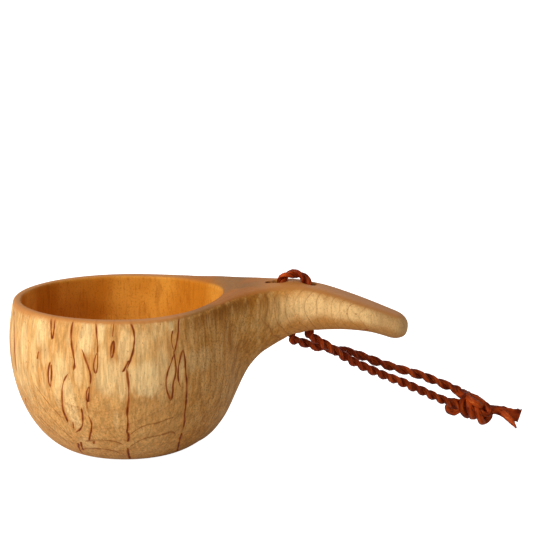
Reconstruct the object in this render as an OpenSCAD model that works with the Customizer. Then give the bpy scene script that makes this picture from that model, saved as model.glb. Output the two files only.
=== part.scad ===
// Kuksa: a drinking cup carved from one block of curly birch, with a leather wrist strap.
// Millimetres. +Z is up, +X runs along the handle. The origin is on the bowl's axis,
// in the plane that the cup stands on.

/* [Bowl] */
// Height of the rim above the table
cup_h = 63.3; // [58:0.1:64]
// Radius of the flat foot
foot_r = 18; // [14:0.5:24]
// Largest outer radius of the bowl
belly_r = 48.3; // [47.8:0.1:48.8]
// Height of the largest radius
belly_z = 46; // [40:0.5:50]
// Outer radius just under the rounded lip
rim_r = 46.9; // [46.5:0.1:47.5]
// Inner radius at the rim
mouth_r = 41.3; // [40:0.1:43.5]
// Place of the hollow's axis along the handle, from the bowl's own
hollow_x = -1.9; // [-2:0.1:0]
// Thickness of the wood under the drink
floor_t = 8; // [6:0.5:12]

/* [Handle] */
// Distance from the bowl's axis to the handle's tip
tip_x = 116.2; // [112:0.1:120]
// Length of the handle's rounded end
tip_len = 6; // [4:0.5:8]
// Softness of the join between bowl and handle, in square millimetres
join_soft = 90; // [20:5:140]

/* [Strap] */
// Thickness of the twisted lace
cord_d = 3.9; // [3:0.1:4.4]
// Diameter of the two holes through the handle
hole_d = 5.8; // [5.6:0.1:6.4]
// Gap between the ball and the socket end at each bend
bend_gap = 0.3; // [0.2:0.1:0.6]

/* [Hidden] */

wood = [0.83, 0.66, 0.42];
leather = [0.45, 0.17, 0.09];
cord_r = cord_d / 2;
thin = 0.02;

// Outlines of the cup along x: each row is [x, value], joined by a smooth curve.
// Height of the rim, and of the handle's flat deck behind it
deck_line = [[-60, cup_h], [8, cup_h], [20, 63.7], [30, 64.6], [45, 67.4], [55, 68.8],
             [65, 69.5], [71, 69.4], [77, 68.3], [83, 66.9], [94, 63.2], [105, 59.2], [118, 54.2]];
// Height of the handle's underside
belly_line = [[10, 1.6], [28, 2.4], [34, 6], [40, 13.6], [43, 19.6], [45.5, 25.2], [50, 33.8],
              [55, 39.6], [60, 43.1], [65, 46], [70, 48], [77, 49.5], [85, 50], [92, 49.9],
              [100, 49], [105, 47.7], [110, 46], [118, 43]];
// Half of the flat deck's width
deck_half = [[10, 41.2], [22, 37.6], [30, 34.2], [37, 29], [45, 20.8], [50, 16.6], [55, 13.2],
             [60, 10.2], [66, 8], [72, 7.2], [94, 7.2], [102, 6.4], [108, 5.4], [118, 4]];
// How far the handle's sides swell out past the deck's edge
side_swell = [[10, 0.2], [30, 0.8], [45, 1.6], [58, 2.8], [70, 3.4], [90, 3.2], [118, 3]];
// Where the handle is widest, as a share of its height
widest_at = [[10, 0.96], [30, 0.94], [45, 0.86], [60, 0.72], [72, 0.62], [118, 0.56]];
// Roundness of the underside: 1 is a keel, 2 is an ellipse
keel_power = [[10, 1], [45, 1.1], [60, 1.6], [72, 1.9], [118, 2.1]];

// The lace's two holes: top and bottom ends of each bore's axis
hole_a_top = [63.1, 0, 69.4];
hole_a_end = [68.3, 0, 47.3];
hole_b_top = [75.2, 0, 68.7];
hole_b_end = [75.4, 0, 49.2];

// Bend points of the strap: the two hole mouths, and one third of the way down the legs
pivot_a = [68.4, 0, 44.5];
pivot_b = [75.4, 0, 46.6];
droop_a = [86.6, 10.6, 38.4];
droop_b = [86.6, 4.4, 39.2];

// The lace's route, point by point
bridge_path = [[68.1, 0, 47], [67.2, 0, 52], [65.9, 0, 58], [64.6, 0, 64], [63.8, 0, 68.2],
               [64, 0, 70.4], [65.6, 0, 72.4], [67.8, 0, 73.1], [70.2, 0, 73.1], [72.4, 0, 72.2],
               [74.1, 0, 70.2], [74.9, 0, 67.6], [75.2, 0, 62], [75.3, 0, 56], [75.4, 0, 49]];
neck_a_path = [pivot_a, [70.4, 1.6, 43.6], [73, 3.6, 42.6], [77.2, 6.2, 40.8], [82.2, 8.8, 39.5]];
neck_b_path = [pivot_b, [77.2, 0.7, 45.5], [79.4, 1.5, 44.2], [82.2, 2.6, 42.4], [84.6, 3.6, 40.6]];
leg_a_path = [droop_a, [91, 12.4, 37.3], [98, 15.4, 34.4], [106, 18.6, 30.6], [114, 21.8, 27.3],
              [123, 25.4, 23.7], [132, 28.4, 19.5], [140, 30.2, 15.6]];
leg_b_path = [droop_b, [90.6, 6.2, 36.3], [95, 8.2, 33.3], [99.4, 10.2, 30.8], [106, 13, 27.2],
              [114, 16.6, 23.2], [123, 20.6, 18.3], [132, 24.8, 13.3], [140, 28, 9.8]];
tail_a_path = [[150, 31, 7.2], [155, 31.8, 6.6], [159, 32.2, 5.8], [163, 32.8, 4.6], [166.8, 33.2, 3.8]];
tail_b_path = [[149.6, 28.4, 3.8], [155, 29, 3.6], [159, 26.6, 2.6], [163, 22.4, 2]];
eye_path = [[141.5, 31, 6.4], [138, 31.2, 6.8], [135.2, 31.4, 6.6]];
knot_spots = [[142.6, 30, 12.2, 3.2], [145.2, 28, 5.4, 3.9], [146.2, 31.8, 8.6, 4.3],
              [149, 28.6, 3.7, 3.6], [151, 31.6, 7, 3.2]];

// ---- Curves ----

// Value at x of a smooth curve through the rows [x, value] of a list
function slope(p, i) =
    let (a = max(i - 1, 0), b = min(i + 1, len(p) - 1))
    (p[b][1] - p[a][1]) / (p[b][0] - p[a][0]);
function span(p, x, i = 0) = i >= len(p) - 2 || x < p[i + 1][0] ? i : span(p, x, i + 1);
function curve(p, x) =
    let (i = span(p, x), w = p[i + 1][0] - p[i][0], t = (x - p[i][0]) / w)
    (1 + 2 * t) * pow(1 - t, 2) * p[i][1] + t * pow(1 - t, 2) * w * slope(p, i)
    + t * t * (3 - 2 * t) * p[i + 1][1] + t * t * (t - 1) * w * slope(p, i + 1);

// ---- Cup ----

lip_h = 3;
lip_w = 2.3;
lip_z = cup_h - lip_h;
join_start = 12;
join_run = 24;
stations = 60;
rows = 22;

// Shrinks the handle to a round end over its last millimetres
function tip_round(x) =
    x < tip_x - tip_len ? 1 : sqrt(max(0, 1 - pow((x - tip_x + tip_len) / tip_len, 2)));
function mid_z(x) = (curve(deck_line, x) + curve(belly_line, x)) / 2;
function top_z(x) = mid_z(x) + (curve(deck_line, x) - mid_z(x)) * tip_round(x);
function low_z(x) = mid_z(x) + (curve(belly_line, x) - mid_z(x)) * tip_round(x);

// Outer radius of the bowl at height z: a flat foot, an ellipse, a slight taper and a round lip
function bowl_r(z) =
    z < 0 ? 0 :
    z < belly_z ? foot_r + (belly_r - foot_r) * sqrt(1 - pow(1 - z / belly_z, 2)) :
    z < lip_z ? belly_r - (belly_r - rim_r) * pow((z - belly_z) / (lip_z - belly_z), 2) :
    rim_r - lip_w + lip_w * sqrt(max(0, 1 - pow((z - lip_z) / lip_h, 2)));

// Squared half width of the bowl, and of the handle, at x and z; below zero outside them
function bowl_sq(x, z) = pow(bowl_r(z * cup_h / top_z(x)), 2) - x * x;
function handle_sq(x, z) =
    let (t = (z - low_z(x)) / (top_z(x) - low_z(x)),
         c = curve(widest_at, x),
         flat = curve(deck_half, x) * tip_round(x),
         swell = curve(side_swell, x) * tip_round(x))
    t < c ? pow(flat + swell, 2) * (1 - pow((c - t) / c, curve(keel_power, x))) :
    pow(flat + swell * sqrt(max(0, 1 - pow((t - c) / (1 - c), 2))), 2);

// The larger of two values, with a soft change from one to the other
function soft_max(a, b, k) = (a + b + sqrt(pow(a - b, 2) + k * k)) / 2;
function cup_sq(x, z) =
    x < join_start ? bowl_sq(x, z) :
    soft_max(bowl_sq(x, z), handle_sq(x, z), join_soft * min(1, (x - join_start) / join_run));
function cup_half(x, z) = max(thin, sqrt(max(0, cup_sq(x, z))));

// Height at which the half width reaches zero, between an outside and an inside height
function edge_z(x, out, in, n = 20) =
    let (m = (out + in) / 2)
    n == 0 ? m : cup_sq(x, m) < 0 ? edge_z(x, m, in, n - 1) : edge_z(x, out, m, n - 1);
function heart_z(x) = x < 40 ? belly_z : mid_z(x);
function start_z(x) = abs(x) < foot_r ? 0 : edge_z(x, -1, heart_z(x));
function end_z(x) = cup_sq(x, top_z(x)) >= 0 ? top_z(x) : edge_z(x, top_z(x), heart_z(x));

// One cross-section at x: up the +y side, then down the -y side
function section(x) =
    let (a = start_z(x), b = end_z(x),
         zs = [for (i = [0:rows - 1]) a + (b - a) * (1 - cos(180 * i / (rows - 1))) / 2])
    concat([for (z = zs) [x, cup_half(x, z), z]],
           [for (i = [rows - 1:-1:0]) [x, -cup_half(x, zs[i]), zs[i]]]);

// A closed skin over a list of rings with the same number of points
function skin_faces(rings, n) = concat(
    [[for (i = [0:n - 1]) i]],
    [for (r = [0:rings - 2], i = [0:n - 1])
        let (j = (i + 1) % n) [r * n + i, (r + 1) * n + i, (r + 1) * n + j]],
    [for (r = [0:rings - 2], i = [0:n - 1])
        let (j = (i + 1) % n) [r * n + i, (r + 1) * n + j, r * n + j]],
    [[for (i = [n - 1:-1:0]) (rings - 1) * n + i]]);

module blank() {
    first = -belly_r + thin;
    last = tip_x - thin;
    xs = [for (i = [0:stations]) first + (last - first) * (1 - cos(180 * i / stations)) / 2];
    points = [for (x = xs) each section(x)];
    polyhedron(points, skin_faces(stations + 1, 2 * rows), convexity = 6);
}

hollow_foot = 12;
hollow_belly_r = 42.6;
hollow_belly_z = 46;
hollow_rows = 14;
above = 80;

function hollow_r(z) =
    z < hollow_belly_z ? hollow_foot + (hollow_belly_r - hollow_foot)
        * sqrt(max(0, 1 - pow((hollow_belly_z - z) / (hollow_belly_z - floor_t), 2))) :
    hollow_belly_r - (hollow_belly_r - mouth_r) * (z - hollow_belly_z) / (cup_h - hollow_belly_z);

module hollow() {
    zs = [for (i = [0:hollow_rows])
        floor_t + (hollow_belly_z - floor_t) * (1 - cos(90 * i / hollow_rows))];
    rotate_extrude($fn = 96)
        polygon(concat([[0, floor_t]], [for (z = zs) [hollow_r(z), z]],
                       [[mouth_r, cup_h], [mouth_r, above], [0, above]]));
}

// A bore along the line from one end to the other, run on past both
module bore(from, to, d) {
    way = to - from;
    run_on = 8;
    translate(from)
        rotate([0, acos(way[2] / norm(way)), 0])
            translate([0, 0, -run_on])
                cylinder(d = d, h = norm(way) + 2 * run_on, $fn = 48);
}

module cup() {
    color(wood)
        difference() {
            blank();
            translate([hollow_x, 0, 0])
                hollow();
            bore(hole_a_top, hole_a_end, hole_d);
            bore(hole_b_top, hole_b_end, hole_d);
        }
}

// ---- Strap ----

sides = 8;

// Unit vector, and the direction of a path at its point i
function unit(v) = v / norm(v);
function heading(p, i) = unit(p[min(i + 1, len(p) - 1)] - p[max(i - 1, 0)]);

// A ring of the given radii about a point, square to a direction; across is its flat axis
function ring(c, way, r, h) =
    let (u = unit(cross(way, abs(way[1]) > 0.9 ? [0, 0, 1] : [0, 1, 0])), v = cross(u, way))
    [for (i = [0:sides - 1])
        c + u * h * cos(360 * (i + 0.5) / sides) + v * r * sin(360 * (i + 0.5) / sides)];

// A tube along a path. A ball end closes it with a round cap that reaches one radius back
function ball_rings(p, r) =
    [for (a = [75, 50, 25]) ring(p[0] - heading(p, 0) * r * sin(a), heading(p, 0), r * cos(a), r * cos(a))];
function tube_rings(p, r, h) = [for (i = [0:len(p) - 1]) ring(p[i], heading(p, i), r, h)];
module tube(p, r, ball = false, h = 0) {
    rings = concat(ball ? ball_rings(p, r) : [], tube_rings(p, r, h > 0 ? h : r));
    polyhedron([for (g = rings) each g], skin_faces(len(rings), sides), convexity = 4);
}

// A path cut short where it reaches a ball, so that the two never touch
function cut_short(p, ball) =
    let (q = p[len(p) - 1], way = unit(ball - q))
    concat(p, [ball - way * (cord_r + bend_gap)]);

module strap_bridge() {
    color(leather) tube(bridge_path, cord_r);
}
module strap_neck_a() {
    color(leather) tube(cut_short(neck_a_path, droop_a), cord_r, ball = true);
}
module strap_neck_b() {
    color(leather) tube(neck_b_path, cord_r, ball = true);
}
module strap_leg_a() {
    color(leather) tube(leg_a_path, cord_r, ball = true);
}
module strap_leg_b() {
    color(leather) tube(leg_b_path, cord_r, ball = true);
}
module strap_knot() {
    color(leather)
        hull()
            for (s = knot_spots) translate([s[0], s[1], s[2]]) sphere(s[3], $fn = 20);
}
module strap_eye() {
    color(leather) tube(eye_path, 2.4, h = 1.6);
}
module strap_tail_a() {
    color(leather) tube(tail_a_path, 2.2, h = 1.4);
}
module strap_tail_b() {
    color(leather) tube(tail_b_path, 2, h = 1.3);
}

cup();
strap_bridge();
strap_neck_a();
strap_neck_b();
strap_leg_a();
strap_leg_b();
strap_knot();
strap_eye();
strap_tail_a();
strap_tail_b();
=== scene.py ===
"""Looks of a kuksa: a birch cup carved from one block, with a twisted leather lace through its handle.

Lengths are in millimetres up to the point where a mesh or the camera is made. Those of the lights,
the floor and the bumps are in metres.
"""

import math
import random

import bpy
import numpy as np
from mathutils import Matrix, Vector


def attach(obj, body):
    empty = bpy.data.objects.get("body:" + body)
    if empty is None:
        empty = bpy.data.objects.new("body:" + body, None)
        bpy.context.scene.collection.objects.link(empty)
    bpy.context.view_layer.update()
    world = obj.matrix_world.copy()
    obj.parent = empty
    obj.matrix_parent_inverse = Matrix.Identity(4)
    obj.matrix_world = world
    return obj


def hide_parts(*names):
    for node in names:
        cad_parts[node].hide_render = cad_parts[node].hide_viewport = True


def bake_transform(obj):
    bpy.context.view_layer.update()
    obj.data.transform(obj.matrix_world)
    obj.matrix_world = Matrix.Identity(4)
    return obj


MM = 0.001
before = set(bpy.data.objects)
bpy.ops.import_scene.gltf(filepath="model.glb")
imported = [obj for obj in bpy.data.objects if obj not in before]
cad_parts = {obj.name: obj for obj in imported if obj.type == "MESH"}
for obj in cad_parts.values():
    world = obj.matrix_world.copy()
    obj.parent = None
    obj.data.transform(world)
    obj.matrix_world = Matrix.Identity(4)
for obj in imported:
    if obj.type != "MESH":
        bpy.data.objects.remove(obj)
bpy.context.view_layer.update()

# ---------------------------------------------------------------- camera, light and floor

CAMERA_TARGET = (57.7, 0.0, 76.2)
CAMERA_ELEVATION = 11.8
CAMERA_DISTANCE = 1000.0
CAMERA_LENS = 164.5
KEY_WATTS, BACK_WATTS, ROOM = 13.0, 1.5, 0.4


def make_camera():
    e = math.radians(CAMERA_ELEVATION)
    back = Vector((0, -math.cos(e), math.sin(e)))
    data = bpy.data.cameras.new("camera")
    data.lens = CAMERA_LENS
    data.sensor_width = 36
    data.clip_start = 0.05
    camera = bpy.data.objects.new("camera", data)
    camera.location = (Vector(CAMERA_TARGET) + back * CAMERA_DISTANCE) * MM
    camera.rotation_euler = (math.radians(90 - CAMERA_ELEVATION), 0, 0)
    bpy.context.collection.objects.link(camera)
    bpy.context.scene.camera = camera


def area_light(name, place, aim, size, watts, colour=(1, 1, 1)):
    data = bpy.data.lights.new(name, "AREA")
    data.shape = "RECTANGLE"
    data.size, data.size_y = size
    data.energy = watts
    data.color = colour
    light = bpy.data.objects.new(name, data)
    light.location = place
    light.rotation_euler = (Vector(aim) - Vector(place)).to_track_quat("-Z", "Y").to_euler()
    bpy.context.collection.objects.link(light)


def make_light():
    """A large key from the front left, a weak one from the back and a bright room all round."""
    aim = (0.03, 0, 0.04)
    area_light("key", (-0.84, -0.66, 0.62), aim, (0.7, 0.7), KEY_WATTS, (1.0, 0.98, 0.94))
    area_light("back", (0.35, 0.9, 0.7), aim, (0.6, 0.4), BACK_WATTS)
    world = bpy.data.worlds.new("world")
    world.use_nodes = True
    tree = world.node_tree
    room = tree.nodes["Background"]
    room.inputs["Strength"].default_value = ROOM
    backdrop = tree.nodes.new("ShaderNodeBackground")
    both = tree.nodes.new("ShaderNodeMixShader")
    tree.links.new(tree.nodes.new("ShaderNodeLightPath").outputs["Is Camera Ray"], both.inputs[0])
    tree.links.new(room.outputs[0], both.inputs[1])
    tree.links.new(backdrop.outputs[0], both.inputs[2])
    tree.links.new(both.outputs[0], tree.nodes["World Output"].inputs[0])
    room.inputs["Color"].default_value = backdrop.inputs["Color"].default_value = (1, 1, 1, 1)
    bpy.context.scene.world = world
    bpy.context.scene.view_settings.view_transform = "Standard"


def make_floor():
    """A pale table that the camera sees nearly white, as an overexposed studio sweep."""
    bpy.ops.mesh.primitive_plane_add(size=60, location=(0, 0, -0.0002))
    floor = bpy.context.object
    floor.name = "floor"
    mat = bpy.data.materials.new("floor")
    mat.use_nodes = True
    tree = mat.node_tree
    bsdf = tree.nodes["Principled BSDF"]
    for name, value in (("Base Color", (0.7, 0.7, 0.7, 1)), ("Roughness", 0.9),
                        ("Specular IOR Level", 0.1), ("Emission Color", (1, 1, 1, 1))):
        bsdf.inputs[name].default_value = value
    tree.links.new(tree.nodes.new("ShaderNodeLightPath").outputs["Is Camera Ray"],
                   bsdf.inputs["Emission Strength"])
    floor.data.materials.append(mat)


# ---------------------------------------------------------------- the cup's form

# The same driving sizes and outlines as the CAD model, but for the pit, which the CAD leaves out
CUP_H, FOOT_R, BELLY_R, BELLY_Z = 63.3, 18.0, 48.3, 46.0
LIP_Z, RIM_R, MOUTH_R, FLOOR_T = 60.3, 46.9, 41.3, 8.0
HOLLOW_FOOT, HOLLOW_BELLY_R, HOLLOW_BELLY_Z, HOLLOW_X = 12.0, 42.6, 46.0, -1.9
TIP_X, TIP_Z, TIP_TILT = 116.2, 51.0, 17.0
JOIN_SOFT, JOIN_START, JOIN_RUN = 90.0, 12.0, 24.0
HOLE_R = 2.9
HOLE_A = ((63.1, 0, 69.4), (68.3, 0, 47.3))
HOLE_B = ((75.2, 0, 68.7), (75.4, 0, 49.2))
PIT, PIT_R = (59.0, -1.4, 70.4), 1.9
# The box and the cells in which the cup's surface is looked for, and the rounds that even it out
GRID_LOW, GRID_HIGH = (-50.5, -50.5, -1.7), (118.5, 50.5, 72.5)
CELL, QUICK_CELL, SETTLE_ROUNDS = 0.75, 1.2, 3
# Degrees from the front where the back's material takes over
BACK_FROM = 100

DECK_LINE = [(-60, CUP_H), (8, CUP_H), (20, 63.7), (30, 64.6), (45, 67.4), (55, 68.8), (65, 69.5),
             (71, 69.4), (77, 68.3), (83, 66.9), (94, 63.2), (105, 59.2), (118, 54.2)]
BELLY_LINE = [(10, 1.6), (28, 2.4), (34, 6), (40, 13.6), (43, 19.6), (45.5, 25.2), (50, 33.8), (55, 39.6),
              (60, 43.1), (65, 46), (70, 48), (77, 49.5), (85, 50), (92, 49.9), (100, 49),
              (105, 47.7), (110, 46), (118, 43)]
DECK_HALF = [(10, 41.2), (22, 37.6), (30, 34.2), (37, 29), (45, 20.8), (50, 16.6), (55, 13.2),
             (60, 10.2), (66, 8), (72, 7.2), (94, 7.2), (102, 6.4), (108, 5.4), (118, 4)]
SIDE_SWELL = [(10, 0.2), (30, 0.8), (45, 1.6), (58, 2.8), (70, 3.4), (90, 3.2), (118, 3)]
WIDEST_AT = [(10, 0.96), (30, 0.94), (45, 0.86), (60, 0.72), (72, 0.62), (118, 0.56)]
KEEL_POWER = [(10, 1), (45, 1.1), (60, 1.6), (72, 1.9), (118, 2.1)]
# Where the handle's outlines start and end; past that they stay as they are there
OUTLINE_FROM, OUTLINE_TO = 10, 118
# How far the sanded deck and rim stand proud of the outline, which makes up for their rounded edges
CROWN = [(-60, 0.3), (20, 0.4), (45, 0.9), (64, 1.2), (118, 1.1)]


def curve(rows, x):
    """Values at x of a smooth curve through the rows (x, value)."""
    k, v = np.array(rows, float).T
    ends = np.arange(len(k))
    a, b = np.maximum(ends - 1, 0), np.minimum(ends + 1, len(k) - 1)
    slope = (v[b] - v[a]) / (k[b] - k[a])
    i = np.clip(np.searchsorted(k, x, side="right") - 1, 0, len(k) - 2)
    w = k[i + 1] - k[i]
    t = (x - k[i]) / w
    return ((1 + 2 * t) * (1 - t) ** 2 * v[i] + t * (1 - t) ** 2 * w * slope[i]
            + t * t * (3 - 2 * t) * v[i + 1] + t * t * (t - 1) * w * slope[i + 1])


def deck_top(x):
    """Height of the deck and rim at x."""
    x_on = np.minimum(x, OUTLINE_TO)
    return curve(DECK_LINE, x_on) + curve(CROWN, x_on)


def soft_max(a, b, k):
    """The larger of two distances, with the corner between them rounded over a width k."""
    h = np.maximum(k - np.abs(a - b), 0) / k
    return np.maximum(a, b) + h * h * k / 4


def smooth(x, low, high):
    t = np.clip((x - low) / (high - low), 0, 1)
    return t * t * (3 - 2 * t)


def bowl_r(z):
    low = FOOT_R + (BELLY_R - FOOT_R) * np.sqrt(np.clip(1 - (1 - z / BELLY_Z) ** 2, 0, 1))
    high = BELLY_R - (BELLY_R - RIM_R) * ((z - BELLY_Z) / (LIP_Z - BELLY_Z)) ** 2
    return np.where(z < BELLY_Z, low, high)


def half_width_sq(x, z):
    """Squared half width of the bowl and handle together, without the roundings of their edges."""
    x_on = np.minimum(x, OUTLINE_TO)
    xs = np.maximum(x_on, OUTLINE_FROM)
    top, low = deck_top(x), curve(BELLY_LINE, xs)
    bowl = bowl_r(z * CUP_H / top) ** 2 - x * x
    t = (z - low) / (top - low)
    c = curve(WIDEST_AT, xs)
    flat, swell = curve(DECK_HALF, xs), curve(SIDE_SWELL, xs)
    below = 1 - np.maximum((c - t) / c, 0) ** curve(KEEL_POWER, xs)
    above = flat + swell * np.sqrt(np.clip(1 - ((t - c) / (1 - c)) ** 2, 0, 1))
    handle = np.where(t < c, (flat + swell) ** 2 * below, above ** 2)
    k = JOIN_SOFT * np.clip((x - JOIN_START) / JOIN_RUN, 0.001, 1)
    both = (bowl + handle + np.sqrt((bowl - handle) ** 2 + k * k)) / 2
    return np.where(x < JOIN_START, bowl, both)


def outside(p):
    """Rough distance out of the bowl and handle's sides."""
    x, y, z = p.T
    step = 0.05
    value = y * y - half_width_sq(x, z)
    gx = (value - (y * y - half_width_sq(x - step, z))) / step
    gz = (value - (y * y - half_width_sq(x, z - step))) / step
    return value / np.sqrt(gx ** 2 + gz ** 2 + 4 * y * y + 16)


def above_deck(p):
    return (p[:, 2] - deck_top(p[:, 0])) * 0.97


def beyond_tip(p):
    a = math.radians(TIP_TILT)
    return (p[:, 0] - TIP_X) * math.cos(a) - (p[:, 2] - TIP_Z) * math.sin(a)


def out_of_hollow(p):
    """Distance out of the space for the drink."""
    r, z = np.hypot(p[:, 0] - HOLLOW_X, p[:, 1]), p[:, 2]
    wide, deep = HOLLOW_BELLY_R - HOLLOW_FOOT, HOLLOW_BELLY_Z - FLOOR_T
    q, w = np.maximum(r - HOLLOW_FOOT, 0) / wide, np.maximum(HOLLOW_BELLY_Z - z, 0) / deep
    size = np.sqrt(q * q + w * w) + 1e-6
    low = (size - 1) * size / (np.sqrt((q / wide) ** 2 + (w / deep) ** 2) + 1e-6)
    taper = (HOLLOW_BELLY_R - MOUTH_R) / (CUP_H - HOLLOW_BELLY_Z)
    high = r - (HOLLOW_BELLY_R - taper * (np.minimum(z, CUP_H) - HOLLOW_BELLY_Z))
    return np.where(z < HOLLOW_BELLY_Z, low, high)


def out_of_bore(p, ends, r):
    a, b = np.array(ends[0], float), np.array(ends[1], float)
    way = (b - a) / np.linalg.norm(b - a)
    rel = p - a
    off = rel - np.outer(rel @ way, way)
    return np.linalg.norm(off, axis=1) - r


def cup_field(p):
    """Below zero inside the wood; the edges are rounded as a carver's knife and sandpaper leave them."""
    x = p[:, 0]
    body = soft_max(outside(p), above_deck(p), 1.3 + 5.0 * smooth(x, 22, 66))
    body = soft_max(body, -p[:, 2], 1.2)
    body = soft_max(body, beyond_tip(p), 7.0)
    lip = 1.3 + 2.7 * smooth(x, 15, 42)
    body = soft_max(body, -out_of_hollow(p), lip)
    body = soft_max(body, PIT_R - np.linalg.norm(p - np.array(PIT), axis=1), 0.5)
    body = soft_max(body, -out_of_bore(p, HOLE_A, HOLE_R), 1.4)
    return soft_max(body, -out_of_bore(p, HOLE_B, HOLE_R), 1.4)


def gradient(field, p):
    step = 0.04
    out = np.empty_like(p)
    for i in range(3):
        d = np.zeros(3)
        d[i] = step
        out[:, i] = (field(p + d) - field(p - d)) / (2 * step)
    return out


def surface_net(field, low, high, cell):
    """A quad mesh of the surface where field is zero: one vertex in each cell that it crosses."""
    counts = [int(math.ceil((h - l) / cell)) + 1 for l, h in zip(low, high)]
    axes = [l + cell * np.arange(n) for l, n in zip(low, counts)]
    grid = np.stack(np.meshgrid(*axes, indexing="ij"), -1).reshape(-1, 3)
    f = np.concatenate([field(part) for part in np.array_split(grid, 24)]).reshape(counts)
    inside = f < 0
    total = np.zeros([n - 1 for n in counts] + [3])
    hits = np.zeros([n - 1 for n in counts])
    crossings = []
    for axis in range(3):
        first = [slice(None)] * 3
        second = [slice(None)] * 3
        first[axis], second[axis] = slice(None, -1), slice(1, None)
        first, second = tuple(first), tuple(second)
        at = np.argwhere(inside[first] != inside[second])
        others = [i for i in range(3) if i != axis]
        room = np.all([(at[:, i] > 0) & (at[:, i] < counts[i] - 1) for i in others], axis=0)
        at = at[room]
        f0, f1 = f[first][tuple(at.T)], f[second][tuple(at.T)]
        place = np.array(low) + cell * at.astype(float)
        place[:, axis] += cell * f0 / (f0 - f1)
        corner = []
        for da, db in ((0, 0), (1, 0), (1, 1), (0, 1)):
            c = at.copy()
            c[:, others[0]] -= da
            c[:, others[1]] -= db
            corner.append(c)
            np.add.at(total, tuple(c.T), place)
            np.add.at(hits, tuple(c.T), 1)
        forward = (f0 < 0) != (axis == 1)
        crossings.append((corner, forward))
    used = hits > 0
    number = np.full(used.shape, -1)
    number[used] = np.arange(used.sum())
    verts = total[used] / hits[used][:, None]
    quads = []
    for corner, forward in crossings:
        q = np.stack([number[tuple(c.T)] for c in corner], 1)
        q[~forward] = q[~forward][:, ::-1]
        quads.append(q)
    return verts, np.concatenate(quads)


def settle(field, verts, quads):
    """Evens out the mesh and puts every vertex exactly on the surface."""
    edges = np.concatenate([quads[:, [i, (i + 1) % 4]] for i in range(4)])
    count = np.bincount(edges.ravel(), minlength=len(verts)).astype(float)
    for _ in range(SETTLE_ROUNDS):
        mean = np.zeros_like(verts)
        for i in range(3):
            mean[:, i] = (np.bincount(edges[:, 0], verts[edges[:, 1], i], len(verts))
                          + np.bincount(edges[:, 1], verts[edges[:, 0], i], len(verts)))
        verts = 0.5 * verts + 0.5 * mean / count[:, None]
        for _ in range(2):
            g = gradient(field, verts)
            step = field(verts)[:, None] * g / np.maximum((g * g).sum(1), 0.05)[:, None]
            verts = verts - np.clip(step, -0.4, 0.4)
    return verts


def new_mesh(name, verts_mm, faces, material):
    mesh = bpy.data.meshes.new(name)
    mesh.from_pydata((np.asarray(verts_mm) * MM).tolist(), [], [list(map(int, f)) for f in faces])
    mesh.materials.append(material)
    mesh.polygons.foreach_set("use_smooth", [True] * len(mesh.polygons))
    mesh.update()
    piece = bpy.data.objects.new(name, mesh)
    bpy.context.collection.objects.link(piece)
    return piece


def point_values(piece, name, values, kind="FLOAT"):
    layer = piece.data.attributes.new(name, kind, "POINT")
    layer.data.foreach_set("vector" if kind == "FLOAT_VECTOR" else "value", np.ravel(values))


def make_cup():
    flames, pale, deep = unmeasured(random.Random(7))
    verts, quads = surface_net(cup_field, GRID_LOW, GRID_HIGH, CELL)
    verts = settle(cup_field, verts, quads)
    cup = new_mesh("cup_wood", verts, quads, birch("birch_front", FLAMES, LOW_RINGS))
    cup.data.materials.append(birch("birch_back", flames, LOW_RINGS[:1]))
    middle = verts[quads].mean(1)
    behind = np.abs(np.degrees(np.arctan2(middle[:, 0], -middle[:, 1]))) > BACK_FROM
    cup.data.polygons.foreach_set("material_index", behind.astype(int))
    normals = unit(gradient(cup_field, verts))
    cup.data.normals_split_custom_set_from_vertices(normals)
    hollow, deck = out_of_hollow(verts), above_deck(verts)
    point_values(cup, "inside", 1 - smooth(hollow, 0.2, 1.6))
    lip = smooth(deck, -2.4, -1.2) * (1 - smooth(hollow, 3.0, 5.0))
    upward = np.maximum(smooth(normals[:, 2], 0.64, 0.84), np.maximum(lip, smooth(deck, -1.3, -0.7)))
    point_values(cup, "deck", upward * smooth(deck, -6.0, -4.5) * smooth(hollow, 0.0, 0.8))
    # Painted shade: a darker band just under the deck's edge between bowl and handle, partly also the wood's
    # own olive there
    crease_shade = smooth(deck, -9.0, -3.0) * smooth(deck, -0.6, -2.4)
    point_values(cup, "crease", crease_shade * smooth(verts[:, 0], 18, 34) * (1 - smooth(verts[:, 0], 50, 66)))
    low = curve(BELLY_LINE, np.clip(verts[:, 0], OUTLINE_FROM, OUTLINE_TO))
    up = (verts[:, 2] - low) / (deck_top(verts[:, 0]) - low)
    # Painted light: a lighter band along the middle of the handle's side, darker towards its top and bottom
    point_values(cup, "lit_band", np.exp(-((up - 0.6) / 0.28) ** 2))
    for name, rows in (("pale", PALE + pale), ("deep", DEEP + deep)):
        away, strength = oval_patches(rows, verts)
        point_values(cup, name, away)
        point_values(cup, name + "_strength", strength)
    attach(cup, "cup")
    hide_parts("cup")


# ---------------------------------------------------------------- shader helpers


def node(tree, kind, inputs=(), out=0, **settings):
    """Adds a node, sets or links its inputs, and returns one of its outputs."""
    n = tree.nodes.new("ShaderNode" + kind)
    for key, value in settings.items():
        setattr(n, key, value)
    for key, value in dict(inputs).items():
        if isinstance(value, bpy.types.NodeSocket):
            tree.links.new(value, n.inputs[key])
        else:
            n.inputs[key].default_value = value
    return n.outputs[out]


def calc(tree, op, a, b=0.0, c=0.0, clamp=False):
    return node(tree, "Math", {0: a, 1: b, 2: c}, operation=op, use_clamp=clamp)


def ramp(tree, value, low, high, out_low=0.0, out_high=1.0):
    """A smooth change from out_low to out_high as value goes from low to high."""
    return node(tree, "MapRange", {0: value, 1: low, 2: high, 3: out_low, 4: out_high},
                interpolation_type="SMOOTHSTEP")


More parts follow.
